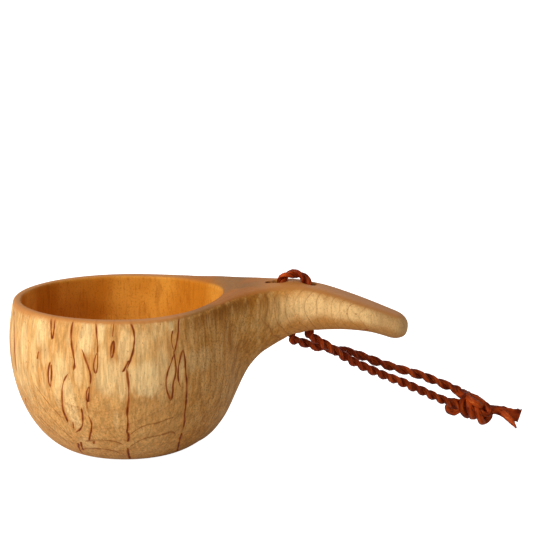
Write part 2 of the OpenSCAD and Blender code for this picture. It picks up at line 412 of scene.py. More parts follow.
def mix(tree, amount, a, b, how="MIX"):
    return node(tree, "Mix", {0: amount, 6: a, 7: b}, out=2, data_type="RGBA", blend_type=how)


def times(tree, a, b):
    return calc(tree, "MULTIPLY", a, b)


def noise(tree, vector, stretch, detail=2.0, rough=0.5, out=0):
    """Noise with its own scale along x, y and z; out is 0 for one number and 1 for three."""
    place = node(tree, "VectorMath", {0: vector, 1: stretch}, operation="MULTIPLY")
    return node(tree, "TexNoise", {"Vector": place, "Scale": 1.0, "Detail": detail,
                                   "Roughness": rough}, out=out)


def stored(tree, name):
    """A number kept on the points of the mesh."""
    return node(tree, "Attribute", out=2, attribute_name=name)


def rgb(r, g, b):
    """A colour given in sRGB from 0 to 255, as the shader's linear values."""
    parts = [c / 255 for c in (r, g, b)]
    return tuple(c / 12.92 if c <= 0.04045 else ((c + 0.055) / 1.055) ** 2.4 for c in parts) + (1.0,)


WOOD_LIGHT, WOOD_CREAM = rgb(234, 180, 110), rgb(248, 206, 142)
WOOD_TAN, WOOD_BROWN = rgb(212, 150, 82), rgb(188, 122, 58)
WOOD_LOW, WOOD_OLIVE_AND_SHADE = rgb(222, 164, 94), rgb(202, 138, 62)
WOOD_HANDLE, WOOD_HANDLE_LIT_BAND, WOOD_TIP_SHADE = rgb(212, 144, 72), rgb(255, 208, 140), rgb(184, 136, 84)
WOOD_STREAK_AND_CREASE_SHADE, WOOD_NECK = rgb(150, 88, 22), rgb(200, 134, 48)
WOOD_RING, WOOD_STIPPLE = rgb(146, 72, 20), rgb(128, 78, 32)
WOOD_GLOW, WOOD_EDGE, WOOD_MARK = rgb(216, 138, 66), rgb(170, 84, 32), rgb(88, 30, 6)
AMBER, AMBER_DARK, AMBER_LINE = rgb(232, 160, 60), rgb(206, 128, 34), rgb(160, 86, 10)
DECK, DECK_GREY, DECK_LINE_TINT = rgb(170, 100, 38), rgb(146, 98, 50), rgb(134, 76, 28)
RIM, HANDLE_TOP_SHADE, WARM_SHEEN = rgb(196, 128, 68), rgb(192, 124, 62), rgb(255, 214, 160)


# ---------------------------------------------------------------- birch

# The dark flames of curly birch on the bowl's outside. Each is a line of points (height in mm, angle in
# degrees from the front towards the handle), its width and, where they aren't 0, how much thicker it gets
# at its lower end and half the gap between its two edges.
FLAMES = [
    ([(62, -74), (53, -68.5), (45, -67), (36, -67)], 0.7),
    ([(26, -63), (20, -69)], 0.7),
    ([(49, -43.5), (45.5, -44.6)], 0.9),
    ([(65, -37), (60, -36.2), (54.6, -35)], 0.75, 0.6),
    ([(65, -34.2), (60, -34.1), (54.6, -34.9)], 0.6, 0.6),
    ([(46, -35.6), (42, -37.2), (38.5, -37.6), (34.5, -37)], 0.6, 0.5),
    ([(45, -35.2), (41, -35.3), (38, -36), (34.8, -36.9)], 0.6, 0.6),
    ([(66, -23), (60.4, -24.1), (57.6, -24.2), (53.3, -23.5), (49.7, -22.6), (47, -22.1), (43, -22.9)],
     0.62, 0.9),
    ([(42.5, -25), (39, -28.1), (35.4, -29.6), (32.6, -30.3), (29, -31.1), (25.4, -31.4), (22.6, -30.9),
      (19.5, -30.3)], 0.6, 0.7),
    ([(53, -18.6), (48.3, -16.4), (45, -15), (42, -14.2), (38, -14.5)], 0.62),
    ([(37.5, -15.2), (35, -16.4), (31, -17.1)], 0.6, 1.0),
    ([(37.5, -15), (34.5, -15.4), (30.4, -16.6)], 0.7, 1.0),
    ([(32, -16.8), (27.5, -17.2)], 0.6),
    ([(65, -12), (58, -11), (54.7, -10.5), (50.4, -10.7)], 0.45),
    ([(51.6, -10.8), (47.2, -12.3), (45, -12.4), (42.6, -11.5)], 0.55),
    ([(51.6, -10.6), (48, -10.5), (45.4, -10.7), (42.8, -11.4)], 0.65),
    ([(56.6, -2.9), (53.3, -4.1), (49.2, -4)], 0.55, 0.3),
    ([(56.6, -2.9), (53.3, -2.7), (49.2, -3.9)], 0.6, 0.3),
    ([(66, -2.8), (59.7, -3.2), (57.6, -3.6)], 0.55),
    ([(66, 4.6), (62.6, 5.7), (59.7, 6.8), (57, 7), (53.3, 6.5), (49.7, 5.3), (47.2, 4.3), (44.4, 2.8)],
     0.65),
    ([(46, 3.1), (42.6, 3.4), (38.3, 3.9), (33.3, 3.9), (29.7, 3.4), (26, 3.1), (22.6, 3.4), (16.4, 2.5)],
     0.62, 1.0),
    ([(17.6, 3), (15.4, 3.6), (12.4, 3.1)], 0.75),
    ([(9.6, 2.9), (7, 3.4), (4.6, 3.9), (1.4, 5)], 0.75),
    ([(48.6, 4.2), (45.3, 2.3), (43.6, 1)], 0.75),
    ([(28, -20.4), (22.9, -20.5), (20.1, -21.5), (17.9, -23.5), (16.5, -25.8), (15.6, -28.6)], 0.62, 0.4),
    ([(25, -17.2), (20.8, -16.2), (18.3, -16.8), (15.4, -18.5), (12, -20.8)], 0.6),
    ([(12.4, -17.4), (10.6, -18.1)], 0.8),
    ([(21, -27), (17.5, -28)], 0.5),
    ([(10.4, -29.6), (9, -30.4), (6.5, -32.6), (2.4, -35.4)], 0.85),
    ([(11.4, -26.6), (6, -29.8)], 0.6),
    ([(67, 31), (62, 29.4), (58.6, 28.8), (55, 27.7), (50, 26)], 0.68),
    ([(59.6, 26.2), (57, 25.2), (54.5, 25.1), (51.4, 25.9)], 0.5),
    ([(50, 25.9), (46, 24.2), (42, 22.5), (38.4, 22.1), (35, 22.7), (32.4, 23.9), (30.2, 25)], 0.52, 0.6),
    ([(52, 25.6), (48, 26.4), (43.4, 26.9), (40.6, 26.5), (38, 25.7), (33, 25.7), (30.2, 25.3)], 0.5, 0.6),
    ([(52, 30.9), (49, 31.4), (45, 31.9), (41.5, 32.3), (38.6, 32.9), (34, 33.4), (29.4, 33.6)], 0.66),
    ([(31, 33.6), (27, 34), (23, 34.4), (20, 35.4), (15.4, 35.9)], 0.66),
    ([(14.6, 36), (11, 37.2), (8.5, 38.4)], 0.95),
    ([(9.6, 37.6), (7, 40.2), (5, 42.8), (3.4, 46.5), (2, 52)], 0.68),
    ([(51.6, 30.8), (47, 28.9), (43, 28.2), (39.6, 28.3), (37, 29.2), (35.4, 30.2)], 0.58),
]

# Year rings that show low on the bowl's outside, as points (angle, height in mm)
LOW_RINGS = [
    [(-34, 5.2), (-29, 6.9), (-22, 8), (-15, 8.4), (-9, 8), (-3, 6.6), (2, 4.4)],
    [(-24, 11.6), (-17, 12.9), (-10, 13.2), (-4, 12.6), (1, 10.8)],
    [(3, 8.6), (7, 11.4), (12, 13.6), (18, 14.6), (24, 15.2), (29, 15.8), (33, 13.4)],
    [(3.6, 15.4), (8, 18.4), (13, 20.4), (19, 21), (24, 22.2), (29, 23)],
    [(-50, 27), (-45, 23.6), (-39, 18.6), (-34, 13.8), (-31, 12)],
    [(-54, 20), (-48, 16.4), (-42, 12.2), (-37, 8.2)],
    [(-49, 35), (-44, 30.6), (-38, 25.6), (-33, 21.6)],
    [(-66, 28), (-60, 23), (-54, 17.6), (-47, 11)],
]

# Light patches between the flames: angle, height, half width and half height in mm, strength
PALE = [
    (-43, 57.5, 3.4, 6.5, 0.8), (-47.5, 46, 2.2, 9, 0.5), (-39.5, 49, 1.8, 5.5, 0.5), (-30, 41, 3.6, 9, 0.75),
    (-26, 30, 3.0, 9.5, 0.8), (-24.5, 21, 2.0, 4, 0.7), (-16.5, 57, 3.0, 6.5, 0.9), (-20.3, 44, 1.8, 7, 0.6),
    (-9, 59.5, 1.6, 5, 1.0), (-8, 47, 2.0, 8, 0.6), (-6.2, 41, 4.6, 7, 0.8), (2.4, 54, 2.4, 7, 0.7),
    (0.8, 40, 1.9, 8.5, 0.7), (5.6, 41.6, 1.4, 6, 0.8), (12.5, 41.6, 6.0, 7.6, 1.0), (10, 54, 3.4, 6, 0.4),
    (20, 44, 2.4, 10, 0.55), (25.2, 60.8, 1.1, 2.4, 1.0), (24.6, 40.5, 1.6, 6, 0.6), (30.2, 43, 1.1, 5, 0.6),
    (36, 46, 2.2, 5, 0.5), (43, 46, 4.2, 5, 0.4), (52, 47, 3.0, 4.4, 0.25), (-56, 50, 3.0, 10, 0.7),
    (-63, 38, 2.6, 11, 0.6), (-55, 32, 2.4, 8, 0.45), (-71, 52, 2.4, 9, 0.5), (-37, 59, 1.0, 4, 0.6),
    (-36.6, 40, 0.6, 4, 0.7), (-22, 11, 3.4, 3.6, 0.5), (-2.6, 24, 1.2, 5, 0.4), (-33.6, 33, 1.4, 6, 0.5),
]
# Deeper brown patches, in the same form
DEEP = [
    (-6, 25, 6.4, 8.6, 0.75), (-20.5, 60.5, 2.2, 3.4, 0.7), (-5.4, 60, 1.6, 3.4, 0.6),
    (7.6, 60.6, 3.2, 2.4, 0.5), (10, 26, 4.4, 6.4, 0.5), (-40, 24, 6.0, 6.0, 0.4), (43, 34, 3.0, 9, 0.55),
    (37, 57, 4.0, 5.6, 0.5), (-27.5, 58, 2.0, 5.5, 0.5), (24, 20, 6.0, 4.0, 0.35), (-33, 54, 1.4, 7, 0.35),
    (-19, 51, 1.1, 4.6, 0.4),
]


def unmeasured(rng):
    """Flames and patches for the sides that show less, in the same sizes as the measured ones."""
    flames, pale, deep = [], [], []
    for i in range(30):
        angle = 118 + 168 * (i + rng.uniform(0.15, 0.85)) / 30
        top = rng.uniform(20, 64)
        length = rng.uniform(8, 26) if rng.random() < 0.6 else rng.uniform(5, 10)
        bottom = max(top - length, 2)
        lean = rng.uniform(-2.2, 2.2)
        rows = [(top + (bottom - top) * k / 4, angle + lean * k / 4 + rng.uniform(-0.9, 0.9))
                for k in range(5)]
        opening = rng.uniform(0.5, 1.1) if length < 14 and rng.random() < 0.6 else 0.0
        flames.append((rows, rng.uniform(0.5, 0.8), rng.uniform(0, 0.8), opening))
    for _ in range(22):
        angle, high = rng.uniform(120, 285), rng.uniform(30, 60)
        pale.append((angle, high, rng.uniform(1.4, 4), rng.uniform(5, 9), rng.uniform(0.5, 0.9)))
    for _ in range(8):
        angle, high = rng.uniform(120, 285), rng.uniform(20, 60)
        deep.append((angle, high, rng.uniform(1.6, 4), rng.uniform(4, 8), rng.uniform(0.4, 0.6)))
    return flames, pale, deep


SLIT = (98.2, 0.0, 51.0)
LINE_SWING = 40.0


def mark_group():
    """Node group: how strongly a drawn line marks a point, from its distance off the line in mm."""
    g = bpy.data.node_groups.new("mark", "ShaderNodeTree")
    for name in ("Off", "Share", "Gap", "Width", "Heavy", "Fat"):
        g.interface.new_socket(name, in_out="INPUT", socket_type="NodeSocketFloat")
    for name in ("Mark", "Glow"):
        g.interface.new_socket(name, in_out="OUTPUT", socket_type="NodeSocketFloat")
    src = g.nodes.new("NodeGroupInput").outputs
    end = g.nodes.new("NodeGroupOutput")
    share = src["Share"]
    ends = times(g, share, calc(g, "SUBTRACT", 1.0, share))
    bulge = calc(g, "POWER", calc(g, "MAXIMUM", times(g, ends, 4.0), 0.0), 0.6)
    gap = times(g, src["Gap"], bulge)
    edge = calc(g, "ABSOLUTE", calc(g, "SUBTRACT", calc(g, "ABSOLUTE", src["Off"]), gap))
    taper = ramp(g, ends, 0.0, 0.09)
    heavy = calc(g, "MULTIPLY_ADD", calc(g, "POWER", calc(g, "MAXIMUM", share, 0.0), 4.0), src["Heavy"], 1.0)
    reach = times(g, times(g, src["Width"], heavy), times(g, taper, src["Fat"]))
    mark = calc(g, "SUBTRACT", 1.0, calc(g, "DIVIDE", edge, calc(g, "ADD", reach, 0.001)), clamp=True)
    g.links.new(mark, end.inputs["Mark"])
    halo = calc(g, "SUBTRACT", 1.0, calc(g, "DIVIDE", edge, calc(g, "ADD", times(g, reach, 3.0), 0.3)),
                clamp=True)
    g.links.new(times(g, times(g, halo, halo), taper), end.inputs["Glow"])
    return g


def drawn_line(tree, group, fat, along, across, scale, points, width, heavy=0.0, gap=0.0):
    """One line of marks: points are (along, across), and scale turns across into mm."""
    first, last = points[0][0], points[-1][0]
    share = calc(tree, "DIVIDE", calc(tree, "SUBTRACT", along, first), last - first)
    middle = sum(a for _, a in points) / len(points)
    line = tree.nodes.new("ShaderNodeFloatCurve")
    mapping = line.mapping
    mapping.use_clip = False
    for i, (q, a) in enumerate(points):
        place = ((q - first) / (last - first), 0.5 + (a - middle) / LINE_SWING)
        if i in (0, len(points) - 1):
            mapping.curves[0].points[0 if i == 0 else -1].location = place
        else:
            mapping.curves[0].points.new(*place)
    mapping.update()
    tree.links.new(share, line.inputs["Value"])
    centre = calc(tree, "MULTIPLY_ADD", line.outputs[0], LINE_SWING, middle - LINE_SWING / 2)
    off = times(tree, calc(tree, "SUBTRACT", across, centre), scale)
    n = tree.nodes.new("ShaderNodeGroup")
    n.node_tree = group
    tree.links.new(off, n.inputs["Off"])
    tree.links.new(share, n.inputs["Share"])
    tree.links.new(fat, n.inputs["Fat"])
    n.inputs["Gap"].default_value = gap
    n.inputs["Width"].default_value = width
    n.inputs["Heavy"].default_value = heavy
    return n.outputs


def oval_patches(rows, verts):
    """How far each vertex is from its nearest oval patch, 1 at its edge, and that patch's strength."""
    angle = np.degrees(np.arctan2(verts[:, 0], -verts[:, 1]))
    per_degree = np.radians(np.hypot(verts[:, 0], verts[:, 1]))
    nearest, strong, total = np.full(len(verts), 9.0), np.zeros(len(verts)), np.zeros(len(verts))
    for middle, high, half_w, half_h, strength in rows:
        turn = (angle - middle + 180) % 360 - 180
        r = np.hypot(turn * per_degree / half_w, (verts[:, 2] - high) / half_h)
        nearest = np.minimum(nearest, r)
        weight = np.exp(-6 * np.minimum(r, 9)) + 1e-30
        strong += strength * weight
        total += weight
    return nearest, strong / total


def line_marks(tree, group, fat, lines, wanted):
    """The strongest of many drawn lines. Each joins the running result at once, so few values stay open."""
    best = {name: 0.0 for name in wanted}
    for line in lines:
        got = drawn_line(tree, group, fat, *line)
        for name in wanted:
            best[name] = calc(tree, "MAXIMUM", best[name], got[name])
    return [best[name] for name in wanted]


def birch(name, flames, low_rings):
    mat = bpy.data.materials.new(name)
    mat.use_nodes = True
    t = mat.node_tree
    bsdf = t.nodes["Principled BSDF"]
    here = node(t, "VectorMath", {0: node(t, "TexCoord", out=3), 3: 1000.0}, operation="SCALE")
    xyz = t.nodes.new("ShaderNodeSeparateXYZ")
    t.links.new(here, xyz.inputs[0])
    x, y, z = xyz.outputs
    front = times(t, y, -1.0)
    angle = times(t, calc(t, "ARCTAN2", x, front), math.degrees(1))
    angle_round = calc(t, "ADD", angle, times(t, calc(t, "LESS_THAN", angle, 0.0), 360.0))
    radius = calc(t, "SQRT", calc(t, "ADD", times(t, x, x), times(t, y, y)))
    mm_a_degree = times(t, radius, math.radians(1))
    inside = stored(t, "inside")
    deck = stored(t, "deck")
    outer = calc(t, "SUBTRACT", 1.0, inside)

    # Grain: a slow wander keeps the fibres from being ruler straight
    wander = noise(t, here, (0.07, 0.07, 0.035), 2.0, out=1)
    bent = node(t, "VectorMath", {0: wander, 1: (3.0, 3.0, 3.0), 2: here}, operation="MULTIPLY_ADD")
    fibre = noise(t, bent, (1.0, 1.0, 0.11), 4.0, 0.62)
    streak = noise(t, bent, (0.42, 0.42, 0.06), 3.0, 0.55)
    silk = noise(t, bent, (0.15, 0.15, 0.05), 3.0, 0.55)
    cloud = noise(t, here, (0.05, 0.05, 0.035), 2.0)
    dots = noise(t, here, (1.5, 1.5, 1.2), 3.0, 0.7)
    fleck = noise(t, here, (1.1, 1.1, 0.55), 2.0, 0.6)

    # Where each kind of figure shows
    uneven = times(t, calc(t, "SUBTRACT", cloud, 0.5), 30.0)
    low_zone = ramp(t, calc(t, "ADD", z, uneven), 37.0, 30.0)
    low_zone = times(t, low_zone, ramp(t, x, 52.0, 36.0))
    handle_zone = ramp(t, x, 48.0, 62.0)
    shade_side = times(t, ramp(t, angle, 20.0, 46.0), ramp(t, x, 62.0, 46.0))
    shade_side = times(t, shade_side, calc(t, "LESS_THAN", y, 4.0))

    # Year rings on the handle, as nested arcs, and fainter shells everywhere else
    tilt = calc(t, "MULTIPLY_ADD", front, 0.85, x)
    tilt = calc(t, "MULTIPLY_ADD", wander_one(t, wander), 8.0, tilt)
    arc_ring = fine_ring(t, calc(t, "DIVIDE", tilt, 3.6), 12.0)
    rel = node(t, "VectorMath", {0: bent, 1: (8.0, 34.0, 22.0)}, operation="SUBTRACT")
    shell = node(t, "VectorMath", {0: rel}, out=1, operation="LENGTH")
    shell_ring = fine_ring(t, calc(t, "DIVIDE", shell, 3.3), 6.0)

    group = mark_group()
    fat = ramp(t, noise(t, here, (0.35, 0.35, 0.16), 2.0), 0.34, 0.66, 0.5, 1.5)
    low_lines, = line_marks(t, group, fat, [(angle, z, 1.0, points, 0.55) for points in low_rings], ["Mark"])
    ring = times(t, low_lines, 0.85)
    arcs = times(t, handle_zone, ramp(t, x, 106.0, 96.0, 0.1, 0.8))
    arcs = times(t, arcs, ramp(t, silk, 0.3, 0.6, 0.35, 1.0))
    ring = calc(t, "MAXIMUM", ring, times(t, arc_ring, arcs))
    ring = calc(t, "MAXIMUM", ring, times(t, shell_ring, calc(t, "MULTIPLY_ADD", low_zone, 0.22, 0.06)))

    # Body colour, from cream flames to tan and brown
    base = mix(t, ramp(t, silk, 0.34, 0.66), WOOD_TAN, WOOD_LIGHT)
    base = mix(t, times(t, ramp(t, streak, 0.5, 0.68), 0.55), base, WOOD_CREAM)
    base = mix(t, times(t, ramp(t, streak, 0.46, 0.3), 0.55), base, WOOD_BROWN)
    base = mix(t, times(t, low_zone, 0.6), base, WOOD_LOW)

    # Olive on the side turned from the key light: partly the wood's own darker tone, partly painted shade
    olive_and_shade = times(t, shade_side, ramp(t, angle, 78.0, 52.0, 0.3, 0.7))
    base = mix(t, olive_and_shade, base, WOOD_OLIVE_AND_SHADE)
    wobble = calc(t, "MULTIPLY_ADD", streak, 1.5, calc(t, "MULTIPLY_ADD", silk, 0.9, -1.2))
    for name, colour in (("deep", WOOD_LOW), ("pale", WOOD_CREAM)):
        away = calc(t, "ADD", stored(t, name), wobble)
        strength = stored(t, name + "_strength")
        base = mix(t, times(t, ramp(t, away, 1.25, 0.65), strength), base, colour)
    # Painted light: the handle's side is lighter along its middle band and darker towards its top and bottom
    lit_band = calc(t, "MULTIPLY_ADD", silk, 0.9, stored(t, "lit_band"))
    handle = mix(t, ramp(t, lit_band, 0.55, 1.35), WOOD_HANDLE, WOOD_HANDLE_LIT_BAND)
    base = mix(t, times(t, handle_zone, 0.94), base, handle)
    root = times(t, ramp(t, x, 30.0, 44.0), ramp(t, z, 50.0, 36.0))
    base = mix(t, times(t, root, 0.5), base, WOOD_LIGHT)
    neck_zone = times(t, ramp(t, x, 38.0, 52.0), ramp(t, x, 72.0, 56.0))
    base = mix(t, times(t, neck_zone, 0.6), base, WOOD_NECK)
    # Painted shade under the deck's edge, partly the wood's own darker olive; the same colour darkens grain
    # streaks below
    base = mix(t, times(t, stored(t, "crease"), 0.75), base, WOOD_STREAK_AND_CREASE_SHADE)
    # Painted shade: darker towards the handle's tip, which turns away from the key light
    base = mix(t, times(t, ramp(t, x, 97.0, 106.0), 0.6), base, WOOD_TIP_SHADE)

    figure = times(t, calc(t, "MAXIMUM", shade_side, neck_zone), 0.42)
    base = mix(t, times(t, ramp(t, streak, 0.5, 0.36), figure), base, WOOD_STREAK_AND_CREASE_SHADE)
    base = mix(t, times(t, ramp(t, streak, 0.52, 0.66), figure), base, WOOD_LIGHT)
    grain = ramp(t, fibre, 0.3, 0.7, 0.72, 1.17)
    grain = node(t, "CombineColor", {0: grain, 1: grain, 2: grain})
    base = mix(t, ramp(t, x, 60.0, 78.0, 1.0, 0.4), base, grain, "MULTIPLY")
    base = mix(t, ring, base, WOOD_RING)
    low_dots = times(t, low_zone, 0.5)
    side_dots = calc(t, "MAXIMUM", shade_side, times(t, handle_zone, 0.3))
    stipple = calc(t, "MAXIMUM", low_dots, side_dots)
    stipple = times(t, ramp(t, dots, 0.48, 0.64), calc(t, "MULTIPLY_ADD", stipple, 0.46, 0.14))
    base = mix(t, stipple, base, WOOD_STIPPLE)
    base = mix(t, times(t, ramp(t, fleck, 0.66, 0.74), 0.6), base, WOOD_RING)

    lines = [(z, angle if rows[0][1] < BACK_FROM else angle_round, mm_a_degree, rows, 0.82 * width, *more)
             for rows, width, *more in flames]
    mark, glow = line_marks(t, group, fat, lines, ["Mark", "Glow"])
    ragged = ramp(t, fibre, 0.25, 0.65, 0.7, 1.4)
    mark = times(t, times(t, mark, ragged), outer)
    glow = times(t, glow, outer)
    base = mix(t, times(t, glow, 0.55), base, WOOD_GLOW)
    base = mix(t, ramp(t, mark, 0.0, 0.5, 0.0, 0.85), base, WOOD_EDGE)
    base = mix(t, ramp(t, mark, 0.45, 1.1, 0.0, 0.9), base, WOOD_MARK)

    # The oiled inside, and the smooth deck and rim, with painted shade on the handle's top
    amber = mix(t, ramp(t, cloud, 0.36, 0.64), AMBER_DARK, AMBER)
    amber = mix(t, times(t, ramp(t, streak, 0.45, 0.3), 0.35), amber, AMBER_LINE)
    amber = mix(t, times(t, ramp(t, fibre, 0.5, 0.72), 0.4), amber, AMBER_LINE)
    amber = mix(t, times(t, ramp(t, dots, 0.5, 0.66), 0.4), amber, AMBER_LINE)
    base = mix(t, inside, base, amber)
    top = mix(t, ramp(t, cloud, 0.4, 0.62), DECK, DECK_GREY)
    top = mix(t, times(t, ramp(t, fibre, 0.4, 0.7), 0.25), top, DECK_LINE_TINT)
    top = mix(t, ramp(t, x, 34.0, 12.0), top, RIM)
    # Painted shade: the handle's top, where it faces up, is browner than its lit side
    top = mix(t, ramp(t, x, 48.0, 64.0), top, HANDLE_TOP_SHADE)
    base = mix(t, times(t, deck, 0.9), base, top)
    from_pit = node(t, "VectorMath", {0: here, 1: PIT}, out=1, operation="DISTANCE")
    base = mix(t, ramp(t, from_pit, 2.3, 1.7), base, WOOD_MARK)
    base = mix(t, slit(t, here), base, WOOD_EDGE)
    t.links.new(base, bsdf.inputs["Base Color"])

    t.links.new(ramp(t, fibre, 0.2, 0.8, 0.44, 0.58), bsdf.inputs["Roughness"])
    bsdf.inputs["Specular IOR Level"].default_value = 0.16
    bsdf.inputs["Specular Tint"].default_value = WARM_SHEEN
    relief = calc(t, "MULTIPLY_ADD", silk, 0.8, times(t, fibre, 0.12))
    bump = node(t, "Bump", {"Height": relief, "Strength": 0.35, "Distance": 0.0005})
    t.links.new(bump, bsdf.inputs["Normal"])
    return mat


def slit(tree, here):
    """A short dark check in the wood low on the handle, near its end."""
    rel = node(tree, "VectorMath", {0: here, 1: SLIT}, operation="SUBTRACT")
    along = node(tree, "VectorMath", {0: rel, 1: (0.42, 0, 0.17)}, out=1, operation="DOT_PRODUCT")
    across = node(tree, "VectorMath", {0: rel, 1: (-0.95, 0, 2.3)}, out=1, operation="DOT_PRODUCT")
    off = calc(tree, "SQRT", calc(tree, "ADD", times(tree, along, along),
                                  times(tree, across, across)))
    return ramp(tree, off, 1.0, 0.6)


def wander_one(tree, colour):
    """One number from a noise colour, around 0."""
    return calc(tree, "SUBTRACT", node(tree, "SeparateColor", {0: colour}), 0.5)


def fine_ring(tree, count, sharp):
    """A thin dark line at every whole number, soft on the side of the growing wood."""
    return calc(tree, "POWER", calc(tree, "FRACT", calc(tree, "ADD", count, 100.0)), sharp)


# ---------------------------------------------------------------- leather


def leather():
    mat = bpy.data.materials.new("lace_leather")
    mat.use_nodes = True
    t = mat.node_tree
    bsdf = t.nodes["Principled BSDF"]
    # Along the lace in mm, and around it, so that creases follow each strand
    lace = node(t, "Attribute", out=1, attribute_name="lace")
    crease = noise(t, lace, (0.35, 1.6, 1.6), 4.0, 0.6)
    pores = noise(t, lace, (2.4, 3.0, 3.0), 3.0, 0.6)
    patch = noise(t, lace, (0.12, 0.5, 0.5), 2.0)
    base = mix(t, ramp(t, patch, 0.35, 0.65), rgb(132, 34, 6), rgb(186, 70, 18))
    # Painted highlight on the raised creases and painted shade in the folds between them, following the bump
    base = mix(t, times(t, ramp(t, crease, 0.54, 0.72), 0.75), base, rgb(226, 116, 44))
    base = mix(t, times(t, ramp(t, crease, 0.47, 0.32), 0.75), base, rgb(56, 8, 2))
    # Painted shade: each strand is darker down its two edges, where it meets the next
    around = t.nodes.new("ShaderNodeSeparateXYZ")
    t.links.new(lace, around.inputs[0])
    edge = ramp(t, calc(t, "ABSOLUTE", around.outputs[1]), 0.7, 1.0)
    base = mix(t, times(t, edge, 0.6), base, rgb(58, 10, 2))
    t.links.new(base, bsdf.inputs["Base Color"])
    t.links.new(ramp(t, pores, 0.3, 0.7, 0.3, 0.48), bsdf.inputs["Roughness"])
    bsdf.inputs["Specular IOR Level"].default_value = 0.26
    bsdf.inputs["Specular Tint"].default_value = rgb(255, 180, 130)
    relief = calc(t, "MULTIPLY_ADD", pores, 0.35, crease)
    bump = node(t, "Bump", {"Height": relief, "Strength": 0.5, "Distance": 0.0004})
    t.links.new(bump, bsdf.inputs["Normal"])
    return mat


# ---------------------------------------------------------------- the lace

CORD_D = 3.9
LACE_STEP, STRAND_STEP, STRAND_SIDES = 0.35, 0.3, 18
BROAD_SIDE = (0.0, -1.0, 0.0)
PIVOT_A, PIVOT_B = (68.4, 0, 44.5), (75.4, 0, 46.6)
DROOP_A, DROOP_B = (86.6, 10.6, 38.4), (86.6, 4.4, 39.2)
BRIDGE = [(68.1, 0, 47), (67.2, 0, 52), (65.9, 0, 58), (64.6, 0, 64), (63.8, 0, 68.2), (64, 0, 70.4),
          (65.6, 0, 72.4), (67.8, 0, 73.1), (70.2, 0, 73.1), (72.4, 0, 72.2), (74.1, 0, 70.2),
          (74.9, 0, 67.6), (75.2, 0, 62), (75.3, 0, 56), (75.4, 0, 49)]
NECK_A = [(68.5, 0, 45.4), (70.3, 1.4, 44.4), (73, 3.4, 43.2), (77.2, 6, 41.2), (82.2, 8.7, 39.7)]
NECK_B = [(75.4, 0, 47.2), (77, 0.6, 46), (79.4, 1.5, 44.4), (82.2, 2.6, 42.5), (84.6, 3.6, 40.6)]
LEG_A = [DROOP_A, (91, 12.4, 37.3), (98, 15.4, 34.4), (106, 18.6, 30.6), (114, 21.8, 27.3),
         (123, 25.4, 23.7), (132, 28.4, 19.5), (140, 30.2, 15.6)]
LEG_B = [DROOP_B, (90.6, 6.2, 36.3), (95, 8.2, 33.3), (99.4, 10.2, 30.8), (106, 13, 27.2),
         (114, 16.6, 23.2), (123, 20.6, 18.3), (132, 24.8, 13.3), (140, 28, 9.8)]

# The knot's filling, and its strands as they lie: each has a route, a half width and a half thickness
KNOT_CORE = [(141, 30, 11.2), (143.6, 30.2, 9.8), (148, 30.2, 7.4), (151.6, 30, 5.6)]
KNOT_STRANDS = [
    ([(144.3, 31, 13.8), (142.8, 28.4, 13.8), (141.4, 26.8, 12.8), (140.9, 26.4, 10.6), (141.2, 27, 8.2),
      (142.9, 29, 5.6), (145, 33, 4.6), (145.6, 35.4, 7.8)], 1.45, 1.05),
    ([(144, 28, 12.6), (144.1, 25.8, 11.2), (144.6, 25, 8.6), (145.5, 26, 5.9), (146.6, 29.4, 4.2),
      (147.1, 33.4, 4.4)], 1.5, 1.1),
    ([(146.4, 27.6, 10.4), (147.4, 25.2, 8.6), (148.5, 24.6, 5.8), (149.6, 25.8, 3.4), (150.6, 28.5, 2.2),
      (151.1, 32, 3.2)], 1.4, 1.1),
    ([(138.6, 29.8, 15.8), (141, 29, 14.2), (143.4, 27.6, 13.2), (145.3, 25.8, 12.3), (147.2, 25, 11.2),
      (148.6, 25.8, 10), (149.2, 28, 9)], 1.5, 1.15),
    ([(138.8, 30.6, 15.4), (142.2, 31.4, 14.3), (145, 31.6, 12.8), (147.8, 30.8, 11.7), (150.4, 29, 10.3),
      (152.2, 27.4, 8.9), (152.7, 26.6, 7.5), (151.9, 25.8, 6.4), (150.2, 25.6, 7), (148.8, 26.6, 8.2),
      (148, 29, 9)], 1.5, 1.1),
    ([(153.4, 31, 7), (152.8, 29.6, 4.6), (151.5, 28.6, 3.2), (150.2, 30, 2.4)], 1.5, 1.1),
]
EYE = [(134, 26, 12.4), (136.6, 27, 11.2), (139.4, 28, 10.3), (141.6, 28.6, 9.8)]
EYE_LOBE = [(136.2, 28, 10.6), (135.2, 28.8, 8.6), (136, 29.2, 6.9), (138, 29.2, 6.4), (140, 28.8, 7.4),
            (141.4, 28.6, 8.8)]
TAIL_A = [(150, 31, 7.8), (154.6, 31, 7.1), (158, 31.4, 6.6), (161, 32, 5.6), (164, 32.6, 4.5),
          (166.6, 33, 3.8)]
TAIL_A_HALF = [1.6, 1.85, 1.9, 2.1, 2.5, 3.0]
TAIL_B = [(153, 30.4, 7.2), (157.6, 30, 6.7), (160, 28.6, 5.4), (162.2, 26.4, 3.4), (164.2, 23.6, 0.9)]
TAIL_B_HALF = [1.5, 1.7, 1.6, 1.3, 0.35]


def unit(v):
    return v / np.maximum(np.linalg.norm(v, axis=-1, keepdims=True), 1e-9)


